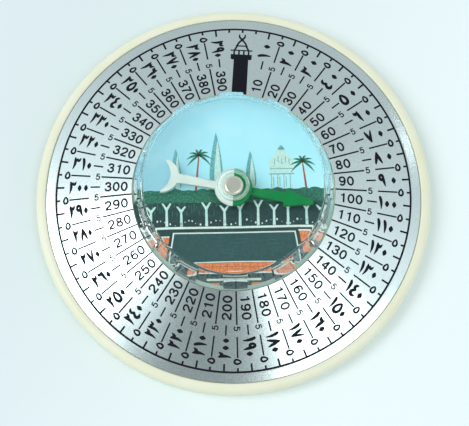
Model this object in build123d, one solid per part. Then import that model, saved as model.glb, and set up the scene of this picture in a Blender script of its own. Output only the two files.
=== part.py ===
"""Qibla compass: a shallow round case with a conical dial and a clear capsule that holds a swinging needle.

Millimetres. The origin is the centre of the underside, +Z is up and +Y runs through the dial's zero mark.
"""
import os
from math import cos, radians, sqrt, tan

from build123d import *

# Case
case_diameter = 60.7
rim_height = 3.15
rim_width = 1.5
rim_crown_radius = 0.9
rim_lip_radius = 0.25
foot_radius = 1.1
floor_thickness = 1.1
recess_diameter = 46.0
recess_depth = 0.3
ledge_width = 2.2
rib_count = 8
rib_thickness = 1.0

# Conical dial
dial_angle = 16.5
dial_edge_height = 2.8
dial_thickness = 0.3
dial_margin_width = 1.2
dial_margin_lift = 0.1
skin_gap = 0.05

# Capsule
drum_diameter = 30.8
drum_draft = 1.0
drum_wall = 0.6
drum_crown = 0.3
drum_edge_radius = 0.4
drum_foot_height = 0.4
drum_rib_count = 12
drum_rib_angle = 15.0
drum_rib_depth = 0.5
drum_rib_step = 0.3
capsule_turn = 4.2
lid_thickness = 1.0
seat_height = 5.35
tray_thickness = 1.0
tray_skirt_depth = 1.2
tray_skirt_wall = 0.8
tray_boss_wall = 1.0
tray_boss_depth = 1.6
card_thickness = 0.3
boss_wall = 0.5
lid_clearance = 0.4
fit_gap = 0.1

# Pivot
pin_diameter = 0.9
pin_tip_angle = 30.0
bush_diameter = 2.4
bush_flange_diameter = 3.8
bush_flange_thickness = 0.3
bush_length = 2.6

# Needle
needle_heading = 97.5
needle_clearance = 0.75
arm_thickness = 0.6
arm_width = 1.25
arrow_end_gap = 1.15
arrow_head_length = 4.4
arrow_head_width = 2.75
arrow_tip_width = 0.5
crescent_end_gap = 2.2
crescent_radius = 2.65
crescent_hollow_radius = 2.9
crescent_hollow_depth = 1.45
crescent_tip_radius = 0.2
hub_diameter = 5.6
hub_split_turn = 8.0
hub_drop = 0.1
hub_height = 1.6
hub_web = 0.7
hub_edge_radius = 0.25
hub_draft_width = 0.3
hub_draft_height = 0.75
hub_step_width = 0.7
hub_step_drop = 0.4
cup_flange_diameter = 3.0
cup_flange_thickness = 0.8
cup_crown = 0.25
cup_diameter = 2.4
cup_bore_diameter = 1.5
cup_bore_top_wall = 0.3
jewel_length = 0.7
jewel_cup_depth = 0.4
jewel_cup_angle = 60.0
washer_thickness = 0.2
hub_skin = 0.6
magnet_gap = 0.05
tip_gap = 0.03

# Radii and heights that follow from the sizes above
case_radius = case_diameter / 2
rim_inner_radius = case_radius - rim_width
floor_top = recess_depth + floor_thickness
dial_radius = rim_inner_radius - fit_gap
dial_slope = tan(radians(dial_angle))
dial_drop = dial_thickness / cos(radians(dial_angle))
drum_radius = drum_diameter / 2
dial_hole_radius = drum_radius + fit_gap
tray_radius = drum_radius - fit_gap
pocket_radius = drum_radius
seat_bore_radius = tray_radius - 2 * tray_skirt_wall
seat_outer_radius = dial_hole_radius + rib_thickness
tray_top = seat_height + tray_thickness
card_top = tray_top + card_thickness
bush_top = card_top + bush_flange_thickness
bush_bottom = bush_top - bush_length
hub_bottom = bush_top + needle_clearance
hub_top = hub_bottom + hub_height
arm_height = hub_bottom + hub_drop
hub_radius = hub_diameter / 2
cup_top = hub_top + cup_flange_thickness
lid_underside = cup_top + lid_clearance
drum_edge_height = lid_underside + lid_thickness
drum_height = drum_edge_height + drum_crown
needle_room_radius = drum_radius - drum_draft - drum_rib_depth - drum_wall
arrow_reach = needle_room_radius - arrow_end_gap
crescent_reach = needle_room_radius - crescent_end_gap
cup_bore_top = hub_top - cup_bore_top_wall
jewel_bottom = cup_bore_top - jewel_length
pin_tip_height = jewel_bottom + jewel_cup_depth - tip_gap
magnet_pocket_radius = hub_radius - hub_skin


def dial_top(radius):
    """Height of the dial's printed face at a radius."""
    return dial_edge_height + dial_slope * (dial_radius - radius)


def dial_under(radius):
    """Height of the dial's underside at a radius."""
    return dial_top(radius) - dial_drop


def dial_bed(radius):
    """Height of the case's glued bed under the dial at a radius."""
    return dial_under(radius) - skin_gap


def rib_face(height):
    """Radius over the drum's outer ribs at a height: the drum narrows upwards."""
    return drum_radius - drum_draft * (height - card_top) / (drum_edge_height - card_top)


def wall_face(height):
    """Radius of the drum's outer wall between the ribs at a height."""
    return rib_face(height) - drum_rib_depth


def drum_bore(height):
    """Inner radius of the drum at a height."""
    return wall_face(height) - drum_wall


def turned(points, rounded=()):
    """Turn a closed outline of (radius, height) points about Z, with the named corners rounded."""
    face = make_face(Polyline(*points, close=True))
    for corner, radius in rounded:
        face = fillet(face.vertices().sort_by_distance((*corner, 0))[0], radius)
    return revolve(Plane.XZ * face, Axis.Z)


def crown_arc(edge, top):
    """Arc of a shallow dome, from its edge (radius, height) up to the axis."""
    radius, low = edge
    rise = top - low
    sphere = (radius**2 + rise**2) / (2 * rise)
    return ThreePointArc(edge, (radius / 2, top - sphere + sqrt(sphere**2 - radius**2 / 4)), (0, top))


def make_case_base():
    """Cream moulded tub: recessed underside, rounded rim, dial ledge, ribs and the capsule's seat."""
    foot = (case_radius, 0)
    crown = (case_radius, rim_height)
    lip = (rim_inner_radius, rim_height)
    ledge_radius = rim_inner_radius - ledge_width
    recess_radius = recess_diameter / 2
    tub = turned(
        [
            (0, recess_depth),
            (recess_radius, recess_depth),
            (recess_radius, 0),
            foot,
            crown,
            lip,
            (rim_inner_radius, dial_bed(rim_inner_radius)),
            (ledge_radius, dial_bed(ledge_radius)),
            (ledge_radius, floor_top),
            (seat_outer_radius, floor_top),
            (seat_outer_radius, dial_bed(seat_outer_radius)),
            (pocket_radius, dial_bed(pocket_radius)),
            (pocket_radius, seat_height),
            (seat_bore_radius, seat_height),
            (seat_bore_radius, floor_top),
            (0, floor_top),
        ],
        [(foot, foot_radius), (crown, rim_crown_radius), (lip, rim_lip_radius)],
    )
    rib_start = seat_outer_radius - rib_thickness / 2
    rib_end = ledge_radius + ledge_width / 2
    rib_foot = recess_depth + floor_thickness / 2
    rib_outline = Polyline(
        (rib_start, rib_foot),
        (rib_end, rib_foot),
        (rib_end, dial_bed(rib_end)),
        (rib_start, dial_bed(rib_start)),
        close=True,
    )
    rib = extrude(Plane.XZ * make_face(rib_outline), rib_thickness / 2, both=True)
    for turn in range(rib_count):
        tub += Rot(0, 0, (turn + 0.5) * 360 / rib_count) * rib
    return tub


def make_dial_sheet():
    """Silvered conical dial with a flatter margin, a thin formed sheet on the ledge, the ribs and the seat."""
    margin_start = dial_radius - dial_margin_width
    return turned(
        [
            (dial_hole_radius, dial_under(dial_hole_radius)),
            (dial_radius, dial_under(dial_radius)),
            (dial_radius, dial_top(dial_radius) + dial_margin_lift),
            (margin_start, dial_top(margin_start)),
            (dial_hole_radius, dial_top(dial_hole_radius)),
        ]
    )


def make_capsule_base():
    """White tray that closes the capsule from below and holds the pivot in its boss."""
    skirt_radius = seat_bore_radius - fit_gap
    skirt_bore = skirt_radius - tray_skirt_wall
    bore = bush_diameter / 2
    boss = bore + tray_boss_wall
    return turned(
        [
            (bore, tray_top),
            (tray_radius, tray_top),
            (tray_radius, seat_height),
            (skirt_radius, seat_height),
            (skirt_radius, seat_height - tray_skirt_depth),
            (skirt_bore, seat_height - tray_skirt_depth),
            (skirt_bore, seat_height),
            (boss, seat_height),
            (boss, seat_height - tray_boss_depth),
            (bore, seat_height - tray_boss_depth),
        ]
    )


def make_picture_card():
    """Printed card, as wide as the tray, held down by the foot of the lid."""
    return turned(
        [
            (bush_diameter / 2 + fit_gap, tray_top),
            (tray_radius, tray_top),
            (tray_radius, card_top),
            (bush_diameter / 2 + fit_gap, card_top),
        ]
    )


def make_capsule_lid():
    """Clear drum with a crowned top, ribs round its wall and a boss that keeps the needle on its pivot."""
    foot_top = card_top + drum_foot_height
    edge_radius = wall_face(drum_edge_height)
    edge = (edge_radius, drum_edge_height)
    boss_bore = cup_flange_diameter / 2 + 4 * fit_gap
    boss_radius = boss_bore + boss_wall
    boss_bottom = hub_top + lid_clearance
    walls = Polyline(
        (0, drum_height),
        (0, lid_underside),
        (boss_bore, lid_underside),
        (boss_bore, boss_bottom),
        (boss_radius, boss_bottom),
        (boss_radius, lid_underside),
        (drum_bore(lid_underside), lid_underside),
        (drum_bore(card_top), card_top),
        (rib_face(card_top), card_top),
        (rib_face(foot_top), foot_top),
        (wall_face(foot_top), foot_top),
        edge,
    )
    crown = crown_arc(edge, drum_height)
    lid = revolve(Plane.XZ * make_face(walls.edges() + crown.edges()), Axis.Z)
    top_edge = lid.edges().filter_by(GeomType.CIRCLE).sort_by(
        lambda circle: abs(circle.radius - edge_radius) + abs(circle.arc_center.Z - drum_edge_height)
    )[0]
    lid = fillet(top_edge, drum_edge_radius)
    rib_top = drum_edge_height - drum_rib_step
    rib_crest = (rib_face(rib_top), rib_top)
    rib_outline = make_face(
        Polyline(
            (wall_face(foot_top) - drum_wall / 2, foot_top),
            (rib_face(foot_top), foot_top),
            rib_crest,
            (wall_face(rib_top) - drum_wall / 2, rib_top),
            close=True,
        )
    )
    rib_outline = fillet(rib_outline.vertices().sort_by_distance((*rib_crest, 0))[0], drum_edge_radius)
    rib = revolve(Plane.XZ * rib_outline, Axis.Z, drum_rib_angle)
    first_turn = capsule_turn - drum_rib_angle / 2
    ribs = [Rot(0, 0, first_turn + turn * 360 / drum_rib_count) * rib for turn in range(drum_rib_count)]
    return lid + ribs


def make_pivot_bush():
    """Brass bush in the tray's boss, with a flange over the hole in the card."""
    bore = pin_diameter / 2
    shank = bush_diameter / 2
    flange = bush_flange_diameter / 2
    return turned(
        [
            (bore, bush_bottom),
            (shank, bush_bottom),
            (shank, card_top),
            (flange, card_top),
            (flange, bush_top),
            (bore, bush_top),
        ]
    )


def make_pivot_pin():
    """Steel pivot with a sharp point, pressed into the bush."""
    radius = pin_diameter / 2
    point_length = radius / tan(radians(pin_tip_angle / 2))
    return turned(
        [
            (0, bush_bottom),
            (radius, bush_bottom),
            (radius, pin_tip_height - point_length),
            (0, pin_tip_height),
        ]
    )


def make_hub_half():
    """Half of the moulded hub on the +X side: stepped on top, with its bore and its pocket for the magnet.

    The plane that parts the halves is turned a little from square to the arms.
    """
    bore = cup_diameter / 2
    step_height = hub_top - hub_step_drop
    rim_edge = (hub_radius, step_height)
    whole = turned(
        [
            (bore, hub_top),
            (bore, hub_top - hub_web),
            (magnet_pocket_radius, hub_top - hub_web),
            (magnet_pocket_radius, hub_bottom),
            (hub_radius - hub_draft_width, hub_bottom),
            (hub_radius, hub_bottom + hub_draft_height),
            rim_edge,
            (hub_radius - hub_step_width, step_height),
            (hub_radius - hub_step_width, hub_top),
        ],
        [(rim_edge, hub_edge_radius)],
    )
    half_space = Pos(hub_diameter / 2, 0, hub_bottom + hub_height / 2) * Box(
        hub_diameter, 2 * hub_diameter, 2 * hub_height
    )
    return whole & Rot(0, 0, hub_split_turn) * half_space


def needle_plate(outline):
    """A flat arm of the needle, cut from an outline that runs out along +X from inside the hub's wall."""
    return extrude(Pos(0, 0, arm_height) * outline, arm_thickness)


def arm_strip(reach):
    """The straight strip of an arm, from inside the hub's wall out to a reach."""
    start = hub_radius - hub_skin * 3 / 4
    return Pos((start + reach) / 2, 0, 0) * Rectangle(reach - start, arm_width)


def make_needle_arrow():
    """Green half of the needle: half the hub, an arm and a blunt arrow head."""
    head_base = arrow_reach - arrow_head_length
    head = make_face(
        Polyline(
            (head_base, -arrow_head_width / 2),
            (arrow_reach, -arrow_tip_width / 2),
            (arrow_reach, arrow_tip_width / 2),
            (head_base, arrow_head_width / 2),
            close=True,
        )
    )
    arm = needle_plate(arm_strip(head_base + arm_width / 2) + head)
    return make_hub_half() + arm


def make_needle_crescent():
    """White half of the needle: half the hub, an arm and a crescent that opens outwards."""
    crescent_back = crescent_reach - crescent_radius
    disc = Pos(crescent_reach, 0, 0) * Circle(crescent_radius)
    hollow_centre = crescent_back + crescent_radius - crescent_hollow_depth + crescent_hollow_radius
    hollow = Pos(hollow_centre, 0, 0) * Circle(crescent_hollow_radius)
    crescent = disc - hollow
    crescent = fillet(crescent.vertices(), crescent_tip_radius)
    arm = needle_plate(arm_strip(crescent_back + arm_width / 2) + crescent)
    return Rot(0, 0, 180) * (make_hub_half() + arm)


def make_ring_magnet():
    """Ring magnet in the hub's pocket, magnetised across."""
    inner = cup_diameter / 2 + magnet_gap
    outer = magnet_pocket_radius - magnet_gap
    return turned(
        [
            (inner, hub_bottom + washer_thickness),
            (outer, hub_bottom + washer_thickness),
            (outer, hub_top - hub_web),
            (inner, hub_top - hub_web),
        ]
    )


def make_hub_washer():
    """Washer under the magnet, which the cup is spread over."""
    inner = cup_diameter / 2 + magnet_gap
    outer = magnet_pocket_radius - magnet_gap
    return turned(
        [
            (inner, hub_bottom),
            (outer, hub_bottom),
            (outer, hub_bottom + washer_thickness),
            (inner, hub_bottom + washer_thickness),
        ]
    )


def make_bearing_cup():
    """Plated cup through the hub, with a domed flange on top and a bore for the jewel below."""
    flange = cup_flange_diameter / 2
    body = cup_diameter / 2
    bore = cup_bore_diameter / 2
    edge = (flange, cup_top - cup_crown)
    walls = Polyline(
        (0, cup_top),
        (0, cup_bore_top),
        (bore, cup_bore_top),
        (bore, hub_bottom),
        (body, hub_bottom),
        (body, hub_top),
        (flange, hub_top),
        edge,
    )
    dome = crown_arc(edge, cup_top)
    return revolve(Plane.XZ * make_face(walls.edges() + dome.edges()), Axis.Z)


def make_bearing_jewel():
    """Glass jewel at the top of the cup's bore, hollowed to a cone for the pivot's point."""
    radius = cup_bore_diameter / 2
    mouth = jewel_cup_depth * tan(radians(jewel_cup_angle / 2))
    return turned(
        [
            (0, cup_bore_top),
            (radius, cup_bore_top),
            (radius, jewel_bottom),
            (mouth, jewel_bottom),
            (0, jewel_bottom + jewel_cup_depth),
        ]
    )


def main():
    case_pieces = {
        "case_base": make_case_base(),
        "dial_sheet": make_dial_sheet(),
        "capsule_base": make_capsule_base(),
        "capsule_lid": make_capsule_lid(),
        "picture_card": make_picture_card(),
        "pivot_bush": make_pivot_bush(),
        "pivot_pin": make_pivot_pin(),
    }
    needle_pieces = {
        "needle_arrow": make_needle_arrow(),
        "needle_crescent": make_needle_crescent(),
        "ring_magnet": make_ring_magnet(),
        "hub_washer": make_hub_washer(),
        "bearing_cup": make_bearing_cup(),
        "bearing_jewel": make_bearing_jewel(),
    }
    os.makedirs("parts", exist_ok=True)
    for name, piece in case_pieces.items():
        export_step(piece, f"parts/{name}.step")
    needle_turn = Rot(0, 0, 90 - needle_heading)
    for name, piece in needle_pieces.items():
        export_step(needle_turn * piece, f"parts/{name}.step")


main()
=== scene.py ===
"""Looks of the qibla compass: smooth shells over the solids, the print, the picture and the finishes.

Sizes are in millimetres and become metres where a mesh is made. +Y runs through the dial's zero mark.
"""
from math import acos, atan2, cos, hypot, pi, radians, sin, tan

import bmesh
import bpy
from mathutils import Matrix, Vector


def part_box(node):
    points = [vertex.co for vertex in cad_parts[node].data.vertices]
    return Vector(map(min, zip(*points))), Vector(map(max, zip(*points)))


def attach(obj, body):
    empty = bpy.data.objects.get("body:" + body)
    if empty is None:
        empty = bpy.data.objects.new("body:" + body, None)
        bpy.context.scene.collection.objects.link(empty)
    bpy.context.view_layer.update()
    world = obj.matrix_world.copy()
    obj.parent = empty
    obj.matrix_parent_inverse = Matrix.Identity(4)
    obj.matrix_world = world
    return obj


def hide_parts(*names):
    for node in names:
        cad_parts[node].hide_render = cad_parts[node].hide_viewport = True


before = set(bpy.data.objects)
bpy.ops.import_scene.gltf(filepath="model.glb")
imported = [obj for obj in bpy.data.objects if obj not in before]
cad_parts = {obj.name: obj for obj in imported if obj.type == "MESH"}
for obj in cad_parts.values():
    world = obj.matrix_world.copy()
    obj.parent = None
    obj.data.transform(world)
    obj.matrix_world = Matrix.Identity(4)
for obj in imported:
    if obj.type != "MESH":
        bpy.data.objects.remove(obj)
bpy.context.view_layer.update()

MM = 0.001


def node_span(name):
    """Outer radius, lowest and highest height of a CAD node, in millimetres."""
    low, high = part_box(name)
    return (high[0] - low[0]) / 2 / MM, low[2] / MM, high[2] / MM


# Sizes from the frame
CASE_RADIUS, _, _ = node_span("case_base")
DIAL_RADIUS, DIAL_LOW, _ = node_span("dial_sheet")
DRUM_RADIUS, DRUM_FOOT, DRUM_TOP = node_span("capsule_lid")
CARD_RADIUS, TRAY_TOP, CARD_TOP = node_span("picture_card")
CUP_RADIUS, HUB_BOTTOM, CUP_TOP = node_span("bearing_cup")
_, _, HUB_TOP = node_span("needle_arrow")

# Case
RIM_HEIGHT = 3.15
RIM_WIDTH = 1.5
RIM_CROWN = 0.9
RIM_LIP = 0.25
FOOT_RADIUS = 1.1
FLOOR_TOP = 1.4
RECESS_RADIUS = 23.0
RECESS_DEPTH = 0.3
LEDGE_WIDTH = 2.2
TRAY_THICKNESS = 1.0
SEAT_WALL = 1.0
SEAT_GAP = 0.1
SEAT_WIDTH = 1.6
RECESS_EDGE = 0.12

# Dial
DIAL_ANGLE = radians(16.5)
DIAL_SHEET = 0.3
DIAL_SLOPE = tan(DIAL_ANGLE)
DIAL_THICKNESS = DIAL_SHEET / cos(DIAL_ANGLE)
DIAL_EDGE_HEIGHT = DIAL_LOW + DIAL_THICKNESS
DIAL_GAP = 0.1
DIAL_HOLE = DRUM_RADIUS + DIAL_GAP
DIAL_MARGIN_WIDTH = 1.2
DIAL_MARGIN_LIFT = 0.1
DIAL_BEND = 0.4
SKIN_GAP = 0.05

# Print, as radii on the dial
RING_RADIUS = 27.2
RING_WIDTH = 0.3
INK_HEIGHT = 0.015
TICK_WIDTH = 0.29
LINE_WIDTH = 0.24
FIVE_TICK_END = 26.6
NUMBER_TICK_END = 26.02
DIVISIONS = 40
DIVISION = 2 * pi / DIVISIONS

# Capsule, turned a little in the case
CAPSULE_TURN = radians(4.2)
DRUM_DRAFT = 1.0
DRUM_WALL = 0.6
DRUM_CROWN = 0.3
DRUM_EDGE = 0.4
DRUM_FOOT_HEIGHT = 0.4
DRUM_RIB_COUNT = 12
DRUM_RIB_ANGLE = radians(15)
DRUM_RIB_DEPTH = 0.5
DRUM_RIB_STEP = 0.3
DRUM_RIB_FLANK = radians(0.6)
DRUM_LIFT = 0.05
DRUM_STEP = 0.01
LID_THICKNESS = 1.0
BOSS_CLEARANCE = 0.4
BOSS_BORE = CUP_RADIUS + BOSS_CLEARANCE
BOSS_WALL = 0.5
BOSS_GAP = 0.4
BOSS_EDGE = 0.12
BOSS_ROOT = 0.1
BOSS_FACE_INSET = 0.04
BOSS_FACE_GAP = 0.01
BOSS_FACE_THICKNESS = 0.02

# Needle, along +X before it is turned to its heading
NEEDLE_TURN = radians(-7.5)
ARM_LIFT = 0.1
ARM_BOTTOM = HUB_BOTTOM + ARM_LIFT
ARM_THICKNESS = 0.6
ARM_WIDTH = 1.25
ARM_EDGE = 0.09
ARROW_REACH = 12.15
ARROW_HEAD_LENGTH = 4.4
ARROW_HEAD_WIDTH = 2.75
ARROW_TIP_WIDTH = 0.5
ARROW_TIP_EDGE = 0.2
ARROW_BARB_EDGE = 0.15
CRESCENT_CENTRE = 11.1
CRESCENT_RADIUS = 2.65
CRESCENT_HOLLOW_RADIUS = 2.9
CRESCENT_HOLLOW_DEPTH = 1.45
CRESCENT_TIP = 0.2
HUB_RADIUS = 2.8
HUB_SPLIT_TURN = radians(8)
HUB_WEB = 0.7
HUB_STEP_WIDTH = 0.7
HUB_STEP_DROP = 0.4
HUB_DRAFT = 0.3
HUB_DRAFT_HEIGHT = 0.75
HUB_WALL = 0.6
HUB_SHOULDER = 0.25
HUB_STEP_ROOT = 0.06
HUB_EDGE = 0.1
ARM_START = HUB_RADIUS - HUB_WALL * 3 / 4
CUP_BODY_RADIUS = 1.2
CUP_CROWN = 0.25
CUP_FLATNESS = 8
CUP_BORE = 0.75
CUP_FLOOR = 0.3
CUP_LIP = 0.06
CUP_EDGE = 0.05

# Facets of a full turn, or of the half hub
SEGMENTS = 224
CARD_SEGMENTS = 120
SMALL_SEGMENTS = 96
HUB_SEGMENTS = 64


# Meshes
def mesh_object(name, mesh, material):
    """An object at the origin for a finished mesh, with one material."""
    piece = bpy.data.objects.new(name, mesh)
    mesh.materials.clear()
    mesh.materials.append(material)
    bpy.context.scene.collection.objects.link(piece)
    return piece


def finished(name, bm, material, sharp=35):
    """Turn a bmesh in millimetres into a piece in metres, smooth but for edges sharper than an angle."""
    bmesh.ops.recalc_face_normals(bm, faces=bm.faces)
    bmesh.ops.scale(bm, vec=(MM, MM, MM), verts=bm.verts)
    mesh = bpy.data.meshes.new(name)
    for face in bm.faces:
        face.smooth = True
    bm.to_mesh(mesh)
    bm.free()
    mesh.set_sharp_from_angle(angle=radians(sharp))
    return mesh_object(name, mesh, material)


def rounded(points, radii, steps=6):
    """A closed outline whose corners, named by their place in the list, are rounded by arcs."""
    outline = []
    for i, point in enumerate(points):
        corner = Vector(point)
        radius = radii.get(i, 0)
        if not radius:
            outline.append(tuple(corner))
            continue
        back = (Vector(points[i - 1]) - corner).normalized()
        ahead = (Vector(points[(i + 1) % len(points)]) - corner).normalized()
        half = acos(max(-1, min(1, back.dot(ahead)))) / 2
        centre = corner + (back + ahead).normalized() * radius / sin(half)
        first = corner + back * radius / tan(half) - centre
        last = corner + ahead * radius / tan(half) - centre
        for k in range(steps + 1):
            swing = first.lerp(last, k / steps).normalized() * radius
            outline.append(tuple(centre + swing))
    return outline


def join(bm, rings, full):
    """Join rings of vertices into one skin, round to the first again or with end caps."""
    count = len(rings)
    for k in range(count if full else count - 1):
        a = rings[k]
        b = rings[(k + 1) % count]
        for i in range(len(a)):
            j = (i + 1) % len(a)
            corners = list(dict.fromkeys([a[i], a[j], b[j], b[i]]))
            if len(corners) > 2:
                bm.faces.new(corners)
    if not full:
        bm.faces.new(rings[0])
        bm.faces.new(rings[-1])


def bridge(bm, stations, full):
    """Join closed outlines of (radius, height), each at its angle about Z, into one skin."""
    rings = []
    poles = {}
    for angle, outline in stations:
        ring = []
        for i, (radius, height) in enumerate(outline):
            if radius < 1e-6:
                if i not in poles:
                    poles[i] = bm.verts.new((0, 0, height))
                ring.append(poles[i])
            else:
                ring.append(bm.verts.new((radius * cos(angle), radius * sin(angle), height)))
        rings.append(ring)
    join(bm, rings, full)


def turn_outline(bm, outline, start=0.0, sweep=2 * pi, segments=SEGMENTS):
    """Turn a closed outline of (radius, height) about Z, with end caps where it isn't a full turn."""
    full = abs(sweep - 2 * pi) < 1e-6
    count = segments if full else segments + 1
    bridge(bm, [(start + sweep * k / segments, outline) for k in range(count)], full)


def turned(name, outline, material, segments=SEGMENTS):
    """A piece turned from a closed outline."""
    bm = bmesh.new()
    turn_outline(bm, outline, segments=segments)
    return finished(name, bm, material)


def band(inner, outer, low, high):
    """Outline of a flat ring."""
    return [(inner, low), (outer, low), (outer, high), (inner, high)]


def arc(x, y, radius, start, end, shares):
    """Points on an arc about a centre, at shares of the way between two angles."""
    angles = [start + (end - start) * share for share in shares]
    return [(x + radius * cos(a), y + radius * sin(a)) for a in angles]


def spin(bm, angle):
    """Turn what a bmesh holds about Z."""
    bmesh.ops.rotate(bm, cent=(0, 0, 0), matrix=Matrix.Rotation(angle, 3, "Z"), verts=bm.verts)


def plate(bm, outline, bottom, top):
    """A flat plate with an outline of (x, y) points."""
    low = [bm.verts.new((x, y, bottom)) for x, y in outline]
    high = [bm.verts.new((x, y, top)) for x, y in outline]
    join(bm, [low, high], False)
    return high


# Node helpers, with sizes in millimetres
MOTTLE_SPAN = (0.3, 0.7)
GRAIN_DETAIL = 2.0
RING_DEPTH = 0.001
# The wave texture multiplies its coordinates by this
WAVE_FACTOR = 20


def linear(colour):
    """Linear RGBA for an sRGB hex value."""
    parts = [int(colour[i : i + 2], 16) / 255 for i in (1, 3, 5)]
    return [p / 12.92 if p <= 0.04045 else ((p + 0.055) / 1.055) ** 2.4 for p in parts] + [1.0]


def node(tree, kind, links=None, **settings):
    """Add a node with its settings. Each link is a socket to join to an input, or the input's value."""
    added = tree.nodes.new(kind)
    for key, value in settings.items():
        setattr(added, key, value)
    for key, value in (links or {}).items():
        if isinstance(value, bpy.types.NodeSocket):
            tree.links.new(value, added.inputs[key])
        else:
            added.inputs[key].default_value = value
    return added


def per_metre(size):
    """A texture's scale for features of a size in millimetres."""
    return 1 / (size * MM)


def new_material(name, **values):
    """A material, its tree, its one Principled shader set to some values, and Object coordinates."""
    material = bpy.data.materials.new(name)
    material.use_nodes = True
    tree = material.node_tree
    tree.nodes.clear()
    shader = node(tree, "ShaderNodeBsdfPrincipled", {k.replace("_", " "): v for k, v in values.items()})
    node(tree, "ShaderNodeOutputMaterial", {"Surface": shader.outputs["BSDF"]})
    place = node(tree, "ShaderNodeTexCoord").outputs["Object"]
    return material, tree, shader, place


def scaled(tree, value, low, high, first=0.0, last=1.0, smooth=False):
    """A value's place between low and high, as a number from first to last."""
    links = {"Value": value, "From Min": low, "From Max": high, "To Min": first, "To Max": last}
    kind = "SMOOTHSTEP" if smooth else "LINEAR"
    return node(tree, "ShaderNodeMapRange", links, interpolation_type=kind).outputs["Result"]


def blended(tree, share, first, second):
    """A colour between two, each a hex value or a socket."""
    first, second = (linear(c) if isinstance(c, str) else c for c in (first, second))
    return node(tree, "ShaderNodeMix", {0: share, 6: first, 7: second}, data_type="RGBA").outputs[2]


def noise(tree, place, size, detail):
    """Soft noise with features of a size."""
    links = {"Vector": place, "Scale": per_metre(size), "Detail": detail}
    return node(tree, "ShaderNodeTexNoise", links).outputs["Fac"]


def relief(tree, shader, height, depth, low, high):
    """Bumps of a depth, and roughness that follows them between two values."""
    bump = node(tree, "ShaderNodeBump", {"Height": height, "Distance": depth * MM, "Strength": 1.0})
    tree.links.new(bump.outputs["Normal"], shader.inputs["Normal"])
    tree.links.new(scaled(tree, height, 0.0, 1.0, low, high), shader.inputs["Roughness"])


def mottle(tree, shader, place, size, first, second, detail=3.0):
    """Base colour that wanders between two hex values in patches of a size."""
    share = scaled(tree, noise(tree, place, size, detail), *MOTTLE_SPAN)
    tree.links.new(blended(tree, share, first, second), shader.inputs["Base Color"])


def grain(tree, shader, place, size, depth, low, high):
    """Fine bumps of a size and depth, and roughness that follows them between two values."""
    relief(tree, shader, noise(tree, place, size, GRAIN_DETAIL), depth, low, high)


def finish(name, mottling, graining=None, **values):
    """A material with the colours of a mottle and, where there is one, a grain."""
    material, tree, shader, place = new_material(name, **values)
    mottle(tree, shader, place, *mottling)
    if graining:
        grain(tree, shader, place, *graining)
    return material


# Finishes
def cream_plastic():
    """Moulded urea plastic: a soft sheen, faint yellowing in patches and a very fine orange peel."""
    return finish("cream_moulded_plastic", (7.0, "#ecedcf", "#f2f3dc"), (0.5, 0.004, 0.26, 0.4), IOR=1.4)


def silvered_sheet():
    """Satin silvered sheet: a grainy metal with no clear mirror. The grain is drawn coarser than it is."""
    colours = (0.22, "#deefee", "#e9f8f7", 2.0)
    return finish("satin_silvered_sheet", colours, (0.22, 0.002, 0.13, 0.22), Metallic=1.0)


def black_ink():
    """Screen-printed ink: near black with a blue cast, a little uneven in its cover."""
    return finish("screen_printed_black_ink", (0.3, "#0a0c14", "#161822"), IOR=1.25, Roughness=0.5)


def clear_plastic():
    """Clear moulded polystyrene, faintly hazy in places. Lamps shine through it to what lies under it."""
    material, tree, shader, place = new_material(
        "clear_moulded_polystyrene", Base_Color=linear("#f8fcfb"), IOR=1.4, Transmission_Weight=1.0
    )
    haze = scaled(tree, noise(tree, place, 5.0, 1.0), 0.0, 1.0, 0.005, 0.03)
    tree.links.new(haze, shader.inputs["Roughness"])
    lamp_ray = node(tree, "ShaderNodeLightPath").outputs["Is Shadow Ray"]
    open_way = node(tree, "ShaderNodeBsdfTransparent", {"Color": linear("#f4faf9")}).outputs["BSDF"]
    either = node(tree, "ShaderNodeMixShader", {0: lamp_ray, 1: shader.outputs["BSDF"], 2: open_way})
    output = next(n for n in tree.nodes if n.type == "OUTPUT_MATERIAL")
    tree.links.new(either.outputs["Shader"], output.inputs["Surface"])
    return material


def highlight_veil():
    """A thin white veil over what lies under it: a painted highlight for the pale ring that light on the
    clear boss makes round the hub.
    """
    colours = (0.6, "#dff2ee", "#f2fbf8")
    # painted highlight: white at low alpha, laid under the clear boss
    return finish("painted_highlight_veil", colours, IOR=1.4, Roughness=0.6, Alpha=0.15)


def white_plastic():
    """Moulded white plastic with a soft sheen, slightly warm."""
    return finish("white_moulded_plastic", (2.0, "#d8e2db", "#e4ede5"), (0.3, 0.003, 0.28, 0.4), IOR=1.5)


def green_plastic():
    """Moulded green plastic, glossy, with a little flow in its colour."""
    return finish("green_moulded_plastic", (2.0, "#007e3f", "#008946"), (0.3, 0.003, 0.25, 0.38), IOR=1.3)


def turned_metal(name, first, second, spacing, low, high, metallic=1.0):
    """Metal turned on a lathe, with fine rings about the axis, drawn wider apart than they are."""
    material, tree, shader, place = new_material(name, Metallic=metallic)
    mottle(tree, shader, place, 0.8, first, second)
    rings = node(
        tree,
        "ShaderNodeTexWave",
        {"Vector": place, "Scale": per_metre(spacing) / WAVE_FACTOR, "Distortion": 0.6, "Detail": 1.0},
        wave_type="RINGS",
        rings_direction="Z",
    )
    relief(tree, shader, rings.outputs["Fac"], RING_DEPTH, low, high)
    return material


def ferrite():
    """Pressed ferrite: dark, matt and slightly grainy."""
    return finish("pressed_ferrite", (0.4, "#232326", "#2e2e33"), (0.15, 0.01, 0.6, 0.8), IOR=1.5)


def ruby_glass():
    """Polished red glass, as jewel bearings are."""
    colours = (0.5, "#b03848", "#c04858")
    return finish("polished_ruby_glass", colours, IOR=1.6, Roughness=0.05, Transmission_Weight=0.8)


def card_ink(name, first, second, size=0.25):
    """Offset-printed ink on card: flat colour broken up by the fine screen of the print."""
    return finish("card_print_" + name, (size, first, second, 2.0), IOR=1.45, Roughness=0.55)


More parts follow.
